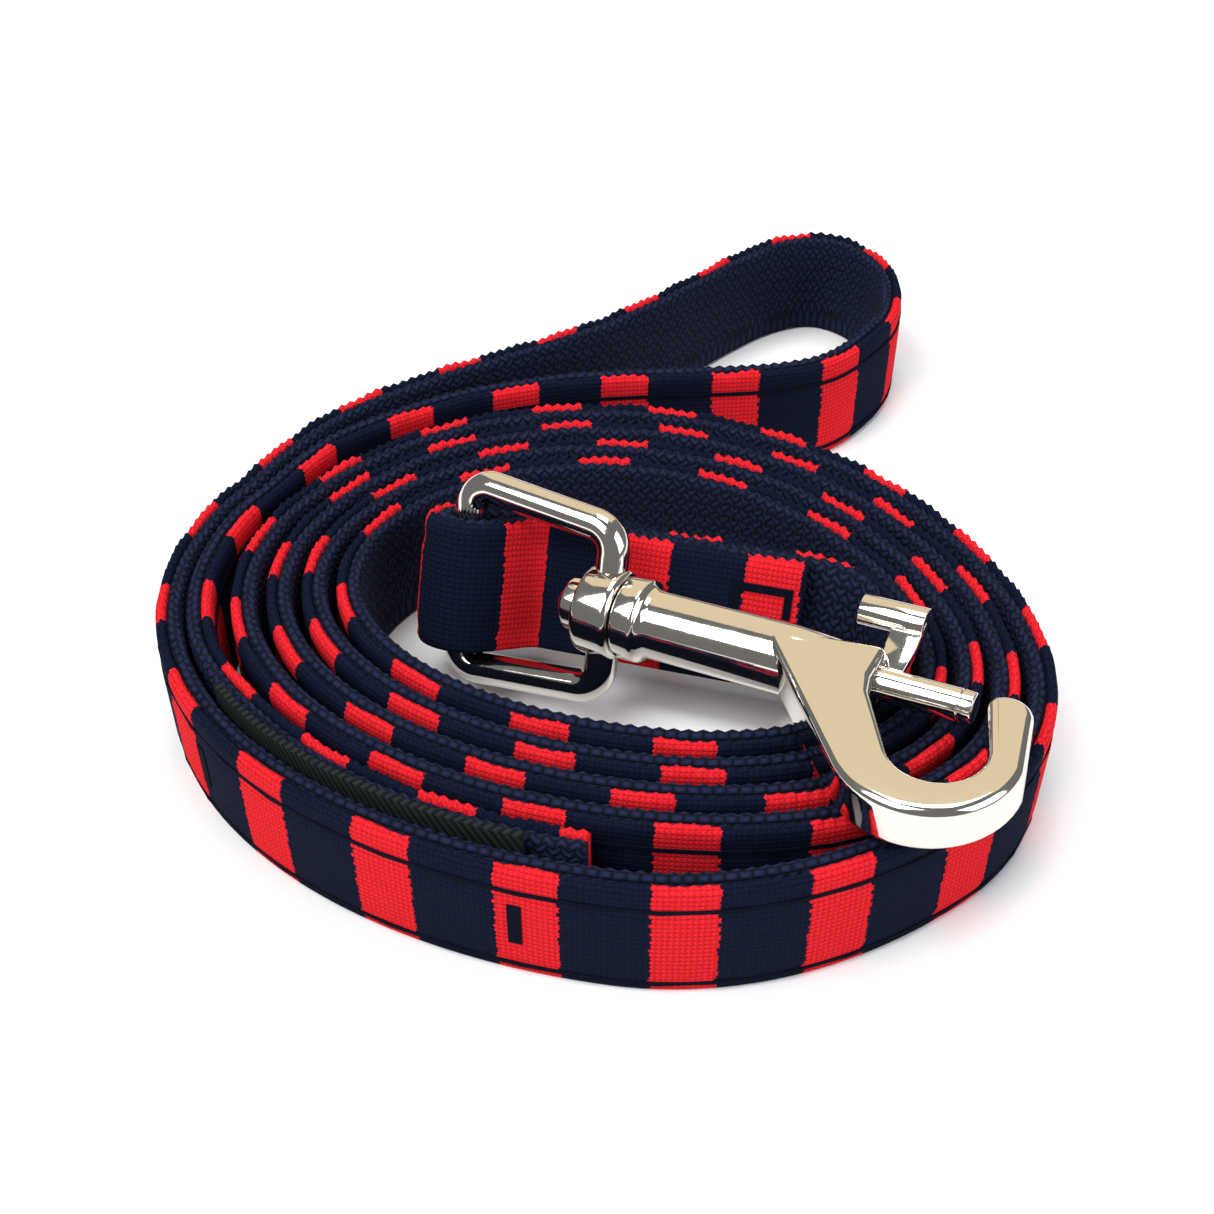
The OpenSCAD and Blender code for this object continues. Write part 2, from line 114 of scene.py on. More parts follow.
# %% Hand loop: a smooth curve through its route, in metres as the part gives it
LOOP_ROUTE = [
    (-0.042, -0.0005), (-0.0382, 0.0066), (-0.0325, 0.014), (-0.025, 0.020), (-0.017, 0.025),
    (-0.009, 0.0295), (-0.001, 0.0345), (0.006, 0.040), (0.013, 0.0465), (0.019, 0.0525),
    (0.025, 0.0575), (0.031, 0.060), (0.036, 0.0585), (0.040, 0.0535), (0.0415, 0.0465),
    (0.040, 0.0385), (0.036, 0.032), (0.0305, 0.0265), (0.0235, 0.024), (0.014, 0.023),
    (0.005, 0.0225), (-0.004, 0.0215), (-0.012, 0.0195), (-0.019, 0.017), (-0.026, 0.013),
    (-0.0315, 0.009), (-0.0355, 0.0045), (-0.039, -0.002),
]


def through(p, q, r, s, t):
    return 0.5 * (2 * q + (r - p) * t + (2 * p - 5 * q + 4 * r - s) * t * t + (3 * q - p - 3 * r + s) * t**3)


knots = [coil_at(COIL_TO - 0.02), coil_at(COIL_TO)]
knots += [Vector((x / MM + CENTRING[0], y / MM + CENTRING[1])) for x, y in LOOP_ROUTE]
knots += [tucked_at(COIL_TO), tucked_at(COIL_TO - 0.02)]
loop_points = [
    through(*knots[i - 1 : i + 3], j / 10) for i in range(1, len(knots) - 2) for j in range(10)
]
coil_points = [coil_at(COIL_FROM + (COIL_TO - COIL_FROM) * i / COIL_STEPS) for i in range(COIL_STEPS)]
tuck_points = [tucked_at(COIL_TO - (COIL_TO - TUCK_TO) * i / 60) for i in range(61)]
print("points on the standing strap", len(coil_points) + len(loop_points) + len(tuck_points))

# %% Frames of the snap end: the leaning strip, the eye and the snap
STRIP_Z = 12.8
HEADING, LEAN = -15.0, 25
strip_frame = (
    Matrix.Translation((-15.2 + CENTRING[0], -16.9 + CENTRING[1], STRIP_Z))
    @ Matrix.Rotation(math.radians(HEADING), 4, "Z")
    @ Matrix.Rotation(math.radians(-LEAN), 4, "X")
)
EYE_LEN, EYE_UP = 18.4, 0.5
eye_frame = (
    strip_frame @ Matrix.Rotation(math.radians(-15), 4, "Z") @ Matrix.Translation((EYE_LEN, 0, EYE_UP))
)
snap_frame = eye_frame @ Matrix.Rotation(math.radians(24.5), 4, "X")
print("snap axis", tuple(round(v, 3) for v in snap_frame.col[0][:3]))


# %% [markdown]
# The sewn end leans back on the bar of the eye. Each station of the path holds a middle point, the
# direction to the covered side and the direction up the strap, so the same sweep serves everywhere.

# %% Stations along the whole strap
LAYER_HALF = (STRAP_T + 0.1) / 2
STRIP_BACK, PART_LEN = 4.8, 9.0
WRAP_GAP = 0.3
WRAP_R = WIRE_R + WRAP_GAP + STRAP_T / 2
FRONT_LAYER, BACK_LAYER = 38.0, 39.0


def strip_middle(x):
    return STRIP_BACK * smooth(x / PART_LEN)


def layer_side(x):
    return LAYER_HALF + (WRAP_R - LAYER_HALF) * smooth(1 - (x - 1) / (PART_LEN - 1))


flat = [(x, strip_middle(x) - layer_side(x)) for x in [FRONT_LAYER * (1 - i / 80) for i in range(80)]]
flat += [(WRAP_R * math.cos(a), WRAP_R * math.sin(a)) for a in [math.radians(-90 - 6 * i) for i in range(31)]]
flat += [(x, strip_middle(x) + layer_side(x)) for x in [BACK_LAYER * i / 80 for i in range(1, 81)]]
stations = []
turn_of = strip_frame.to_3x3()
for i, (x, y) in enumerate(flat):
    before, after = flat[max(i - 1, 0)], flat[min(i + 1, len(flat) - 1)]
    d = Vector((after[0] - before[0], after[1] - before[1])).normalized()
    left, up = turn_of @ Vector((-d.y, d.x, 0)), turn_of @ Vector((0, 0, 1))
    stations.append((strip_frame @ Vector((x, y, 0)), left, up))

# %% The innermost turn twists from leaning to upright
first_d = (coil_points[1] - coil_points[0]).normalized()
start, end = stations[-1][0], Vector((coil_points[0].x, coil_points[0].y, STRAP_W / 2))
heading = Vector((math.cos(math.radians(HEADING)), math.sin(math.radians(HEADING)), 0))
pulls = (start, start + 7 * heading, end - 7 * first_d.to_3d(), end)


def turn_at(t):
    a, b, c, d = pulls
    return a * (1 - t) ** 3 + 3 * b * t * (1 - t) ** 2 + 3 * c * t * t * (1 - t) + d * t**3


for i in range(1, 40):
    t = i / 40
    d = turn_at(t + 0.01) - turn_at(t - 0.01)
    d = Vector((d.x, d.y, 0)).normalized()
    n, lean = Vector((-d.y, d.x, 0)), math.radians(LEAN * (1 - smooth(1.5 * t)))
    left = n * math.cos(lean) - Vector((0, 0, math.sin(lean)))
    up = n * math.sin(lean) + Vector((0, 0, math.cos(lean)))
    stations.append((turn_at(t), left, up))

standing = coil_points + loop_points + tuck_points
for i, p in enumerate(standing):
    d = (standing[min(i + 1, len(standing) - 1)] - standing[max(i - 1, 0)]).normalized()
    stations.append((Vector((p.x, p.y, STRAP_W / 2)), Vector((-d.y, d.x, 0)), Vector((0, 0, 1))))

travel = [0.0]
for a, b in zip(stations, stations[1:]):
    travel.append(travel[-1] + (b[0] - a[0]).length)
STRAP_LEN = travel[-1]
coil_start = travel[len(stations) - len(standing)]
print("strap length, mm", round(STRAP_LEN, 1), "coil starts at", round(coil_start, 1))


def station_of(turn):
    """How far along the strap the coil's middle line is at a turn."""
    share = (turn - COIL_FROM) / (COIL_TO - COIL_FROM)
    return travel[len(stations) - len(standing) + round(COIL_STEPS * share)]


# %% Even steps along the path
def even_stations(step):
    count = round(STRAP_LEN / step)
    out, k = [], 0
    for i in range(count + 1):
        s = STRAP_LEN * i / count
        while k < len(travel) - 2 and travel[k + 1] < s:
            k += 1
        w = (s - travel[k]) / (travel[k + 1] - travel[k])
        p = stations[k][0].lerp(stations[k + 1][0], w)
        left = stations[k][1].lerp(stations[k + 1][1], w).normalized()
        up = stations[k][2].lerp(stations[k + 1][2], w).normalized()
        out.append((s, p, left, up))
    return out


# %% Helpers for every mesh
def active_only(obj):
    bpy.ops.object.select_all(action="DESELECT")
    obj.select_set(True)
    bpy.context.view_layer.objects.active = obj


def face_outward(obj):
    active_only(obj)
    bpy.ops.object.mode_set(mode="EDIT")
    bpy.ops.mesh.select_all(action="SELECT")
    bpy.ops.mesh.normals_make_consistent(inside=False)
    bpy.ops.object.mode_set(mode="OBJECT")


def with_way(ring):
    """Each point of a ring with its distance round the ring."""
    out, v, last = [], 0.0, ring[0]
    for point in ring:
        v += math.dist(point, last)
        out.append((point[0], point[1], v))
        last = point
    return out


# %% A band swept along the strap, with a map in real millimetres
def band(name, rows, section):
    """section(s) gives the ring at distance s as (off, up, v) with v the way round it in mm."""
    verts, ways, rings = [], [], 0
    for s, p, left, up in rows:
        ring = section(s)
        rings += 1
        for off, height, v in ring:
            verts.append((p + off * left + height * up) * MM)
            ways.append((s, v))
    n = len(ring)
    round_len = ways[n - 1][1] + 1.0
    faces, corners = [], []
    for i in range(rings - 1):
        for j in range(n):
            k = (j + 1) % n
            quad = (i * n + j, i * n + k, (i + 1) * n + k, (i + 1) * n + j)
            faces.append(quad)
            for q in quad:
                s, v = ways[q]
                if k == 0 and q % n == 0:
                    v = round_len
                corners.append((s, v))
    for cap in (tuple(reversed(range(n))), tuple((rings - 1) * n + j for j in range(n))):
        faces.append(cap)
        corners += [ways[q] for q in cap]
    mesh = bpy.data.meshes.new(name)
    mesh.from_pydata(verts, [], faces)
    layer = mesh.uv_layers.new(name="strap_mm")
    layer.data.foreach_set("uv", [c for corner in corners for c in corner])
    obj = bpy.data.objects.new(name, mesh)
    bpy.context.collection.objects.link(obj)
    face_outward(obj)
    bpy.ops.object.shade_smooth()
    return obj


# %% [markdown]
# ## Finishes
# Cloth here is two yarn colours, navy and red. A knit shows columns of small V stitches, and a weave
# shows ribs. Both follow the strap, so they read the map in millimetres that the band carries.

# %% Colour and node helpers
def colour(text):
    """An sRGB hex value as linear RGBA."""
    out = []
    for i in (1, 3, 5):
        c = int(text[i : i + 2], 16) / 255
        out.append(c / 12.92 if c <= 0.04045 else ((c + 0.055) / 1.055) ** 2.4)
    return (*out, 1.0)


def material(name):
    mat = bpy.data.materials.new(name)
    mat.use_nodes = True
    return mat, mat.node_tree, mat.node_tree.nodes["Principled BSDF"]


def add(tree, kind, links=None, values=None, **settings):
    """Adds a node: settings are its properties, values its sockets, links its inputs from others."""
    node = tree.nodes.new(kind)
    for key, value in settings.items():
        setattr(node, key, value)
    for key, value in (values or {}).items():
        node.inputs[key].default_value = value
    for key, socket in (links or {}).items():
        tree.links.new(socket, node.inputs[key])
    return node.outputs[0]


def sum_of(tree, operation, a, b=None, c=None):
    links, values = {}, {}
    for i, term in enumerate((a, b, c)):
        if term is None:
            continue
        if isinstance(term, (int, float)):
            values[i] = term
        else:
            links[i] = term
    return add(tree, "ShaderNodeMath", links, values, operation=operation)


# %% Knitted jersey, navy with red stripes: soft yarn, so quite matt
STRIPE_STEP = 14.69
RED_LEN = 6.2
FIRST_RED = 3.4
COURSE, WALE = 0.55, 0.62


def strap_map(tree):
    way = tree.nodes.new("ShaderNodeUVMap")
    way.uv_map = "strap_mm"
    split = tree.nodes.new("ShaderNodeSeparateXYZ")
    tree.links.new(way.outputs[0], split.inputs[0])
    return way.outputs[0], split.outputs[0], split.outputs[1]


knit, tree, shader = material("knitted_jersey")
way, u, v = strap_map(tree)
wale = sum_of(tree, "DIVIDE", v, WALE)
column = sum_of(tree, "FLOOR", wale)
in_wale = sum_of(tree, "SUBTRACT", wale, column)
from_mid = sum_of(tree, "ABSOLUTE", sum_of(tree, "SUBTRACT", in_wale, 0.5))
jitter = add(tree, "ShaderNodeTexWhiteNoise", {"W": column}, noise_dimensions="1D")
u_ragged = sum_of(tree, "MULTIPLY_ADD", jitter, 0.3, u)
u_course = sum_of(tree, "MULTIPLY_ADD", from_mid, COURSE * 0.6, u_ragged)
from_red = sum_of(tree, "SUBTRACT", u_course, FIRST_RED - RED_LEN / 2 + 0.3)
stripe = sum_of(tree, "DIVIDE", from_red, STRIPE_STEP)
stripe = sum_of(tree, "MULTIPLY", sum_of(tree, "FRACT", stripe), STRIPE_STEP)
is_red = sum_of(tree, "LESS_THAN", stripe, RED_LEN)
slanted = sum_of(tree, "MULTIPLY_ADD", from_mid, COURSE * 0.9, u)
phase = sum_of(tree, "MULTIPLY", slanted, 2 * math.pi / COURSE)
course = sum_of(tree, "MULTIPLY_ADD", sum_of(tree, "SINE", phase), 0.5, 0.5)
groove = sum_of(tree, "SUBTRACT", 1.0, sum_of(tree, "POWER", sum_of(tree, "MULTIPLY", from_mid, 2), 4))
stitch = sum_of(tree, "MULTIPLY", sum_of(tree, "MULTIPLY_ADD", course, 0.6, 0.4), groove)
fuzz = add(tree, "ShaderNodeTexNoise", {"Vector": way}, {"Scale": 2.2, "Detail": 3.0})
navy = add(tree, "ShaderNodeMix", {0: fuzz}, {6: colour("#0b101f"), 7: colour("#141c33")}, data_type="RGBA")
navy = tree.nodes[-1].outputs[2]
red = add(tree, "ShaderNodeMix", {0: fuzz}, {6: colour("#cf1822"), 7: colour("#ee2c35")}, data_type="RGBA")
red = tree.nodes[-1].outputs[2]
add(tree, "ShaderNodeMix", {0: is_red, 6: navy, 7: red}, data_type="RGBA")
yarn = tree.nodes[-1].outputs[2]
# The yarn colour is darkened in the grooves between the stitches and between the courses. This is painted
# shade in the knit's hollows.
painted_stitch_shade = sum_of(tree, "MULTIPLY_ADD", stitch, 0.65, 0.5)
add(tree, "ShaderNodeMix", {7: add(tree, "ShaderNodeCombineColor", {0: painted_stitch_shade, 1: painted_stitch_shade, 2: painted_stitch_shade}), 6: yarn},
    {0: 1.0}, data_type="RGBA", blend_type="MULTIPLY")
tree.links.new(tree.nodes[-1].outputs[2], shader.inputs["Base Color"])
bump = add(tree, "ShaderNodeBump", {"Height": stitch}, {"Strength": 0.4, "Distance": 0.0002})
tree.links.new(bump, shader.inputs["Normal"])
shader.inputs["Roughness"].default_value = 0.95
shader.inputs["Specular IOR Level"].default_value = 0.05

# %% Woven webbing: a basket of thick yarns, nearly black, so only its ribs show
webbing, tree, shader = material("woven_webbing")
way, u, v = strap_map(tree)
RIB, PICK = 1.3, 0.9
row = sum_of(tree, "FLOOR", sum_of(tree, "DIVIDE", v, PICK))
shifted = sum_of(tree, "MULTIPLY_ADD", row, RIB / 2, u)
rib = sum_of(tree, "ABSOLUTE", sum_of(tree, "SINE", sum_of(tree, "MULTIPLY", shifted, math.pi / RIB)))
pick = sum_of(tree, "ABSOLUTE", sum_of(tree, "SINE", sum_of(tree, "MULTIPLY", v, math.pi / PICK)))
weave_relief_and_shade = sum_of(tree, "MULTIPLY", sum_of(tree, "POWER", rib, 0.7), sum_of(tree, "POWER", pick, 0.5))
# The webbing is drawn near black in the hollows of its weave and lighter on the crests of its ribs. This is
# painted shade; the same pattern drives the real bump.
add(tree, "ShaderNodeMix", {0: weave_relief_and_shade}, {6: colour("#04060c"), 7: colour("#1a2340")}, data_type="RGBA")
tree.links.new(tree.nodes[-1].outputs[2], shader.inputs["Base Color"])
bump = add(tree, "ShaderNodeBump", {"Height": weave_relief_and_shade}, {"Strength": 0.8, "Distance": 0.0004})
tree.links.new(bump, shader.inputs["Normal"])
shader.inputs["Roughness"].default_value = 0.85
shader.inputs["Specular IOR Level"].default_value = 0.12

# %% Sewing thread: twisted polyester, as dark as the navy yarn
thread, tree, shader = material("sewing_thread")
place = tree.nodes.new("ShaderNodeTexCoord").outputs["Object"]
twist = add(tree, "ShaderNodeTexNoise", {"Vector": place}, {"Scale": 2500.0, "Detail": 2.0})
add(tree, "ShaderNodeMix", {0: twist}, {6: colour("#04060d"), 7: colour("#0f1526")}, data_type="RGBA")
tree.links.new(tree.nodes[-1].outputs[2], shader.inputs["Base Color"])
shader.inputs["Roughness"].default_value = 0.9
shader.inputs["Specular IOR Level"].default_value = 0.05

# %% Twill tape: fine diagonal ribs about 0.7 mm apart
tape, tree, shader = material("twill_tape")
place = tree.nodes.new("ShaderNodeTexCoord").outputs["Object"]
turned_map = add(tree, "ShaderNodeMapping", {"Vector": place}, {"Rotation": (0.4, 0.3, 0.9)})
twill_relief_and_shade = add(tree, "ShaderNodeTexWave", {"Vector": turned_map}, {"Scale": 420.0, "Distortion": 0.8})
# The tape is drawn darker between its diagonal ribs and lighter on them. This is painted shade; the same
# pattern drives the real bump.
add(tree, "ShaderNodeMix", {0: twill_relief_and_shade}, {6: colour("#0c0f0f"), 7: colour("#23292a")}, data_type="RGBA")
tree.links.new(tree.nodes[-1].outputs[2], shader.inputs["Base Color"])
bump = add(tree, "ShaderNodeBump", {"Height": twill_relief_and_shade}, {"Strength": 0.5, "Distance": 0.0002})
tree.links.new(bump, shader.inputs["Normal"])
shader.inputs["Roughness"].default_value = 0.9
shader.inputs["Specular IOR Level"].default_value = 0.1

# %% Nickel plate on die-cast zinc: mirror bright with a faint unevenness from tumbling
nickel, tree, shader = material("nickel_plate")
place = tree.nodes.new("ShaderNodeTexCoord").outputs["Object"]
marks = add(tree, "ShaderNodeTexNoise", {"Vector": place}, {"Scale": 600.0, "Detail": 2.0})
gloss = add(tree, "ShaderNodeMapRange", {0: marks}, {1: 0.3, 2: 0.7, 3: 0.05, 4: 0.11})
tree.links.new(gloss, shader.inputs["Roughness"])
bump = add(tree, "ShaderNodeBump", {"Height": marks}, {"Strength": 0.04, "Distance": 0.0002})
tree.links.new(bump, shader.inputs["Normal"])
shader.inputs["Base Color"].default_value = colour("#dfdbd2")
shader.inputs["Metallic"].default_value = 1.0

# %% Spring steel: drawn wire, hidden inside the barrel
steel, tree, shader = material("spring_steel")
place = tree.nodes.new("ShaderNodeTexCoord").outputs["Object"]
marks = add(tree, "ShaderNodeTexNoise", {"Vector": place}, {"Scale": 900.0})
tree.links.new(add(tree, "ShaderNodeMapRange", {0: marks}, {3: 0.25, 4: 0.4}), shader.inputs["Roughness"])
shader.inputs["Base Color"].default_value = colour("#8f9092")
shader.inputs["Metallic"].default_value = 1.0
print("materials", [m.name for m in (knit, webbing, thread, tape, nickel, steel)])

# %% [markdown]
# ## Knitted cover
# The cover is sewn to the webbing along two rows, so it is pinched at the seams and a little full
# between them. Its cut edges are overlocked, which makes the small teeth on top of every turn.

# %% Knitted cover
tacks = [station_of(4.49), station_of(4.615)]
tooth = 1.3


def fullness(s):
    near_tack = max(math.exp(-(((s - t) / 1.5) ** 2)) for t in tacks)
    return smooth((s - 8) / 4) * (1 - near_tack)


def knit_section(s):
    high = STRAP_W / 2
    full = 0.16 * fullness(s)
    teeth = 0.22 * math.sin(2 * math.pi * s / tooth)
    sway = 0.12 * math.sin(2 * math.pi * s / 9.7) + 0.08 * math.sin(2 * math.pi * s / 5.3 + 1)
    outer = STRAP_T / 2
    ring = [(BETWEEN, -high + 0.25), (BETWEEN + 0.5, -high), (outer - 0.3, -high + 0.1),
            (outer - 0.02, -high + 0.7)]
    ring += [(outer - 0.08, -high + 1.4), (outer + full, -high + 3.0), (outer + full, -high + 6.2),
             (outer + full, high - 6.2), (outer + full, high - 4.2), (outer - 0.08, high - 2.8)]
    ring += [(outer + 0.02, high - 1.6), (outer - 0.05, high - 0.6 + sway),
             (outer - 0.35, high - 0.05 + sway + teeth), (BETWEEN + 0.5, high + 0.1 + sway + teeth),
             (BETWEEN + 0.1, high - 0.3 + sway)]
    return with_way(ring)


cover = band("knitted_cover", even_stations(tooth / 4), knit_section)
cover.data.materials.append(knit)
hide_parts("snap_end_knit", "inner_turn_knit", "coil_knit", "hand_loop_knit")
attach(cover, "lead")
print("cover faces", len(cover.data.polygons))

# %% [markdown]
# ## Webbing
# The webbing is thicker and stiffer. Its edge yarns loop back at every pick, so its edge is beaded.

# %% Webbing
bead = 1.5


def webbing_section(s):
    high = STRAP_W / 2
    beads = 0.18 * math.sin(2 * math.pi * s / bead)
    inner = -STRAP_T / 2
    ring = [(inner + 0.05, -high + 0.4), (inner + 0.5, -high), (BETWEEN - 0.3, -high), (BETWEEN, -high + 0.4)]
    ring += [(BETWEEN, 0), (BETWEEN, high - 0.5)]
    ring += [(BETWEEN - 0.25, high - 0.1 + beads), (inner + 0.85, high + 0.12 + beads),
             (inner + 0.35, high - 0.1 + beads), (inner + 0.05, high - 0.6), (inner, high - 4), (inner, 0),
             (inner, -high + 4)]
    return with_way(ring)


strap = band("strap_webbing", even_stations(bead / 4), webbing_section)
strap.data.materials.append(webbing)
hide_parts("snap_end_webbing", "inner_turn_webbing", "coil_webbing", "hand_loop_webbing")
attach(strap, "lead")
print("webbing faces", len(strap.data.polygons))

# %% [markdown]
# Both layers were cut as plain strips.

# %% [markdown]
# ## The snap and its eye
# The metal parts are shaped in their own frames in millimetres and then put in place. Turned parts
# are a half outline spun round the X axis, with every corner rounded, because a plated edge is soft.


# %% Helpers for the metal
def settle(obj, place, finish, node, body):
    """Puts a piece shaped in millimetres into the row frame, gives it its finish, hides the solid it stands
    for and hangs it on its body.
    """
    active_only(obj)
    obj.matrix_world = Matrix.Scale(MM, 4) @ place @ obj.matrix_world
    bpy.ops.object.transform_apply(location=True, rotation=True, scale=True)
    face_outward(obj)
    bpy.ops.object.shade_smooth_by_angle(angle=math.radians(32))
    obj.data.materials.clear()
    obj.data.materials.append(finish)
    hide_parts(node)
    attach(obj, body)
    print(obj.name, "faces", len(obj.data.polygons))


def rounded(points, radius, closed=False):
    """The outline with each corner cut by a small arc."""
    out = []
    for i, p in enumerate(points):
        if not closed and i in (0, len(points) - 1):
            out.append(p)
            continue
        p, a, b = Vector(p), Vector(points[i - 1]), Vector(points[(i + 1) % len(points)])
        r = min(radius, (a - p).length * 0.45, (b - p).length * 0.45)
        one, two = p + (a - p).normalized() * r, p + (b - p).normalized() * r
        for t in (0, 0.25, 0.5, 0.75, 1):
            q = one * (1 - t) ** 2 + p * 2 * t * (1 - t) + two * t * t
            out.append((q.x, q.y))
    return out


def turned(name, outline, closed=False):
    """A half outline of (along, radius) spun round the X axis."""
    mesh = bpy.data.meshes.new(name)
    edges = [(i, i + 1) for i in range(len(outline) - 1)]
    if closed:
        edges.append((len(outline) - 1, 0))
    mesh.from_pydata([(x, r, 0) for x, r in outline], edges, [])
    obj = bpy.data.objects.new(name, mesh)
    bpy.context.collection.objects.link(obj)
    active_only(obj)
    bpy.ops.object.mode_set(mode="EDIT")
    bpy.ops.mesh.select_all(action="SELECT")
    bpy.ops.mesh.spin(steps=72, angle=2 * math.pi, center=(0, 0, 0), axis=(1, 0, 0))
    bpy.ops.mesh.select_all(action="SELECT")
    bpy.ops.mesh.remove_doubles(threshold=0.001)
    bpy.ops.mesh.normals_make_consistent(inside=False)
    bpy.ops.object.mode_set(mode="OBJECT")
    return obj


def arc(middle, radius, start_deg, end_deg, step=6):
    count = max(2, round(abs(end_deg - start_deg) / step))
    angles = [math.radians(start_deg + (end_deg - start_deg) * i / count) for i in range(count + 1)]
    return [(middle[0] + radius * math.cos(a), middle[1] + radius * math.sin(a)) for a in angles]


def joined(name, parts):
    bpy.ops.object.select_all(action="DESELECT")
    for part in parts:
        part.select_set(True)
    bpy.context.view_layer.objects.active = parts[0]
    bpy.ops.object.join()
    parts[0].name = name
    return parts[0]


# %% [markdown]
# ### Eye
# The eye is one wire bent to a loop, with its two ends let into a turned collar. A curve with a round
# section follows the bends exactly, and the collar is a spun ring.

# %% Eye
BAR_HALF, BAR_BEND, NECK_BEND, ARM = 7.9, 2.7, 2.8, 6.0
arm_run = EYE_LEN - BAR_BEND - NECK_BEND
neck_drop = NECK_BEND - BAR_BEND + arm_run * math.sin(math.radians(ARM))
neck_h = BAR_HALF - neck_drop / math.cos(math.radians(ARM))
half = [(0, 3.2)] + arc((-NECK_BEND, neck_h), NECK_BEND, 0, 90 - ARM)
half += arc((BAR_BEND - EYE_LEN, BAR_HALF), BAR_BEND, 90 - ARM, 180)
path = half + [(x, -z) for x, z in reversed(half)]
bpy.ops.object.select_all(action="DESELECT")
bpy.ops.curve.primitive_nurbs_path_add(location=(0, 0, 0))
wire = bpy.context.object
wire.data.splines.clear()
spline = wire.data.splines.new("POLY")
spline.points.add(len(path) - 1)
for point, (x, z) in zip(spline.points, path):
    point.co = (x, 0, z, 1)
wire.data.bevel_depth = WIRE_R
wire.data.bevel_resolution = 12
wire.data.use_fill_caps = True
active_only(wire)
bpy.ops.object.convert(target="MESH")
ring = rounded([(-2.3, 2.16), (-2.3, 5.0), (2.3, 5.0), (2.3, 2.16)], 0.9, closed=True)
collar = turned("collar", ring, closed=True)
eye = joined("bent_eye", [wire, collar])
settle(eye, eye_frame, nickel, "swivel_eye", "eye")

# %% [markdown]
# ### Swivel pin
# The pin's head is domed and closes on the collar, which turns on its shank.

# %% Swivel pin
head = [(-5.4, 0), (-5.4, 1.6), (-4.5, 2.0), (-4.5, 3.0), (-2.45, 3.0)]
head = rounded(head + [(-2.45, 2.1), (7.4, 2.1), (7.4, 0)], 0.5)
pin = turned("riveted_pin", head)
settle(pin, snap_frame, nickel, "swivel_pin", "snap")

# %% [markdown]
# ### Snap body
# Barrel and hook are one casting. The barrel is spun. The hook is an outline extruded to a plate,
# with its rim bevelled broad, and its top slopes down from the barrel's crown.

# %% Snap body
MOUTH, TIP_FACE, GATE_GAP = 31.4, 10.2, 0.3
PLATE_UNDER, PLATE_TOP, PLATE_SLOPE = -2.6, 3.75, 0.048
barrel_line = [(2.45, 0), (2.45, 4.6), (5.0, 4.6), (5.4, 4.0), (6.0, 3.8), (22, 3.8), (MOUTH, 3.0),
               (MOUTH, 1.9), (MOUTH - 0.8, 1.75), (MOUTH - 3, 1.75), (MOUTH - 3, 0)]
barrel = turned("barrel", rounded(barrel_line, 0.5))
BOWL, TIP = (MOUTH + 9.0, -8.7), (44.9, -2.0)
outline = [(19.6, -1.0)] + arc((BOWL[0] - 1.1, BOWL[1]), 9.5, 222, 360) + arc(TIP, 2.6, 0, 150, 12)
outline += arc(BOWL, 4.7, 10, -150) + [(32.1, -4.6), (MOUTH, -2.4), (MOUTH, 2.4), (19.6, 0.5)]
mesh = bpy.data.meshes.new("plate")
mesh.from_pydata([(x, y, 0) for x, y in outline], [], [tuple(range(len(outline)))])
plate = bpy.data.objects.new("plate", mesh)
bpy.context.collection.objects.link(plate)
active_only(plate)
bpy.ops.object.mode_set(mode="EDIT")
bpy.ops.mesh.select_all(action="SELECT")
bpy.ops.mesh.extrude_region_move(TRANSFORM_OT_translate={"value": (0, 0, 5)})
bpy.ops.object.mode_set(mode="OBJECT")
for vert in plate.data.vertices:
    vert.co.z = PLATE_TOP - PLATE_SLOPE * (vert.co.x - 21) if vert.co.z > 1 else PLATE_UNDER
soft = plate.modifiers.new("soft_rim", "BEVEL")
soft.limit_method, soft.angle_limit = "ANGLE", math.radians(50)
soft.width, soft.segments, soft.use_clamp_overlap = 1.0, 5, False
active_only(plate)
bpy.ops.object.modifier_apply(modifier="soft_rim")
snap_body = joined("cast_snap", [barrel, plate])
settle(snap_body, snap_frame, nickel, "snap_body", "snap")

# %% [markdown]
# ### Trigger
# The bolt is a turned rod. The thumb tab is pressed sheet: a stem on the bolt and a pad whose near
# edge is rolled down, so it keeps the solid's form with its edges rounded.

# %% Bolt
end_x = MOUTH + TIP_FACE - GATE_GAP
rod = rounded([(20.1, 0), (20.1, 2.4), (21.9, 2.4), (21.9, 1.7), (end_x - 1.5, 1.7), (end_x - 1.4, 1.55),
               (end_x - 1.3, 1.7), (end_x, 1.6), (end_x, 0)], 0.25)
bolt = turned("bolt_rod", rod)
settle(bolt, snap_frame, nickel, "trigger_bolt", "bolt")

# %% Thumb tab
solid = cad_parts["thumb_tab"]
active_only(solid)
bpy.ops.object.duplicate()
tab = bpy.context.object
tab.name = "pressed_tab"
tab.parent = None
bpy.ops.object.mode_set(mode="EDIT")
bpy.ops.mesh.select_all(action="SELECT")
bpy.ops.mesh.remove_doubles(threshold=0.00001)
bpy.ops.mesh.dissolve_limited(angle_limit=math.radians(2))
bpy.ops.object.mode_set(mode="OBJECT")
edge = tab.modifiers.new("edge", "BEVEL")
edge.width, edge.segments, edge.angle_limit = 0.00025, 3, math.radians(40)
bpy.ops.object.modifier_apply(modifier="edge")
tab.matrix_world = snap_frame.inverted() @ Matrix.Scale(1 / MM, 4)
settle(tab, snap_frame, nickel, "thumb_tab", "bolt")

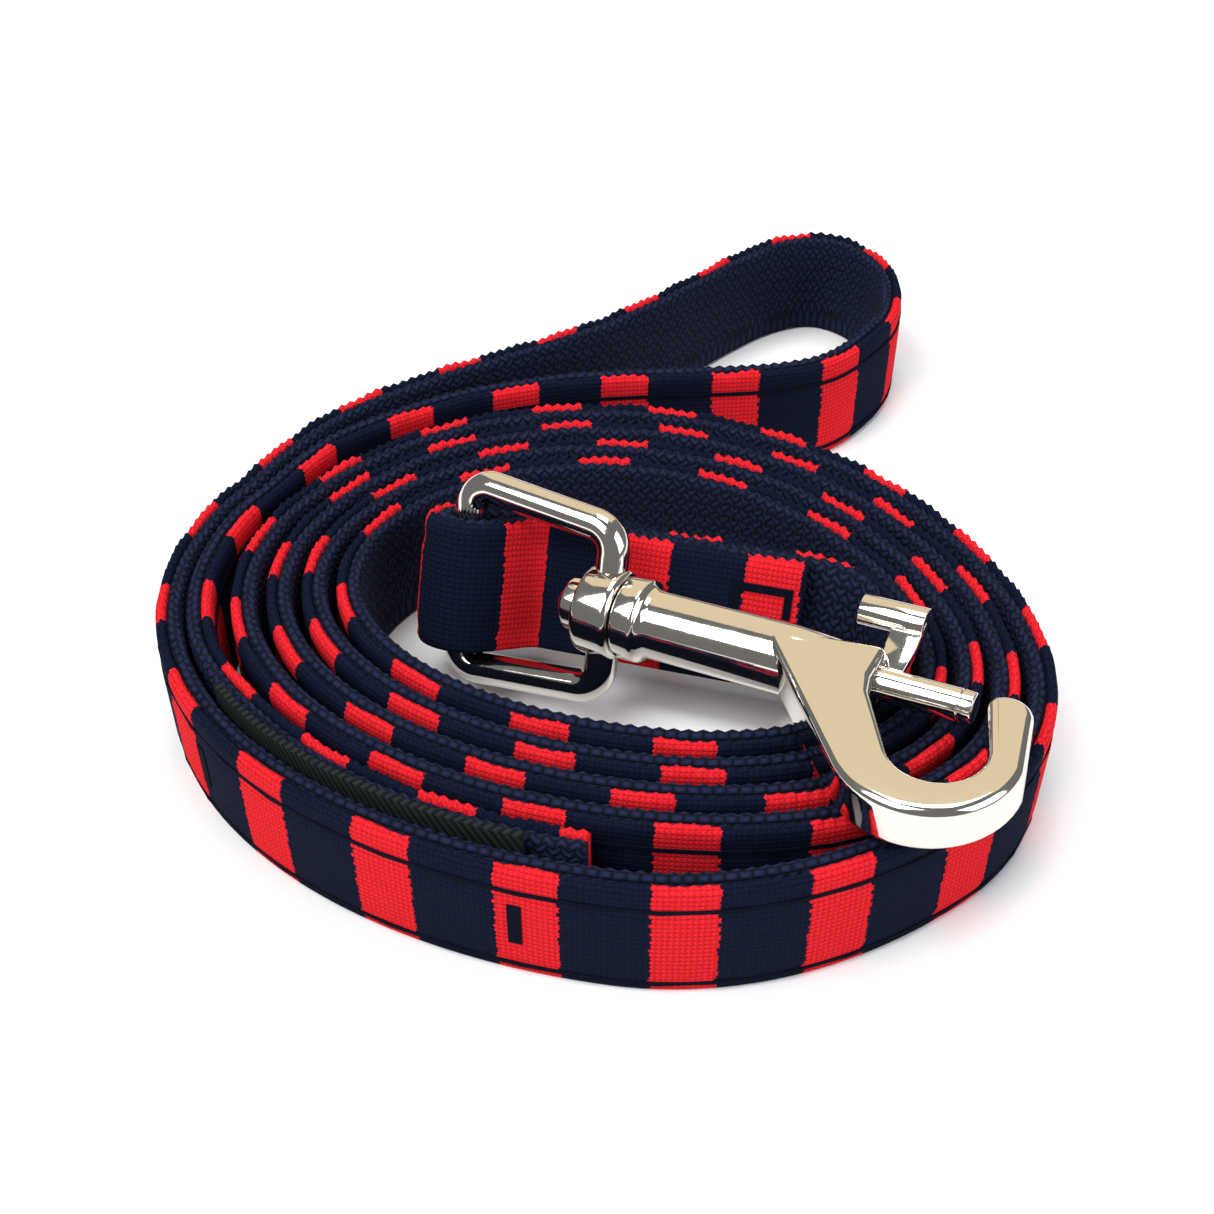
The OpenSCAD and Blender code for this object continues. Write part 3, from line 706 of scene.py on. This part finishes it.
# %% Finishes of the pieces that keep their solids
for node, finish in (
    ("upper_seam_thread", thread), ("lower_seam_thread", thread), ("snap_end_stitching", thread),
    ("hand_loop_bartacks", thread), ("twill_tape", tape), ("bolt_spring", steel),
):
    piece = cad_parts[node]
    for slot in piece.material_slots:
        slot.material = finish

# %% [markdown]
# ## Table and light
# A pale table and big soft lights. Polished nickel shows the room, so a warm card stands behind.

# %% Table
bpy.ops.object.select_all(action="DESELECT")
bpy.ops.mesh.primitive_plane_add(size=6, location=(0, 0, 0))
floor = bpy.context.object
floor.name = "floor"
pale, tree, shader = material("pale_laminate")
place = tree.nodes.new("ShaderNodeTexCoord").outputs["Object"]
grain = add(tree, "ShaderNodeTexNoise", {"Vector": place}, {"Scale": 40.0})
add(tree, "ShaderNodeMix", {0: grain}, {6: colour("#f4f4f4"), 7: colour("#f8f8f8")}, data_type="RGBA")
tree.links.new(tree.nodes[-1].outputs[2], shader.inputs["Base Color"])
shader.inputs["Roughness"].default_value = 0.9
floor.data.materials.append(pale)


# %% Lights
def soft_light(name, place, size, power, tint):
    bpy.ops.object.select_all(action="DESELECT")
    bpy.ops.object.light_add(type="AREA", location=place)
    light = bpy.context.object
    light.name = name
    light.data.shape = "SQUARE"
    light.data.size = size
    light.data.energy = power
    light.data.color = colour(tint)[:3]
    light.rotation_euler = (-light.location).to_track_quat("-Z", "Y").to_euler()
    return light


soft_light("key_light", (-0.5, -0.35, 0.9), 0.7, 12, "#ffffff")
soft_light("fill_light", (0.8, -0.5, 0.6), 0.8, 6, "#f4f6ff")
soft_light("top_light", (0.1, 0.3, 1.1), 0.5, 6, "#ffffff")
card = soft_light("warm_card", (0.1, 1.15, 0.95), 1.8, 9.0, "#f0d9ad")
card.visible_diffuse = False
world = bpy.data.worlds.new("room")
world.use_nodes = True
world.node_tree.nodes["Background"].inputs[0].default_value = (1, 1, 1, 1)
world.node_tree.nodes["Background"].inputs[1].default_value = 0.2
bpy.context.scene.world = world
bpy.context.scene.view_settings.view_transform = "Standard"
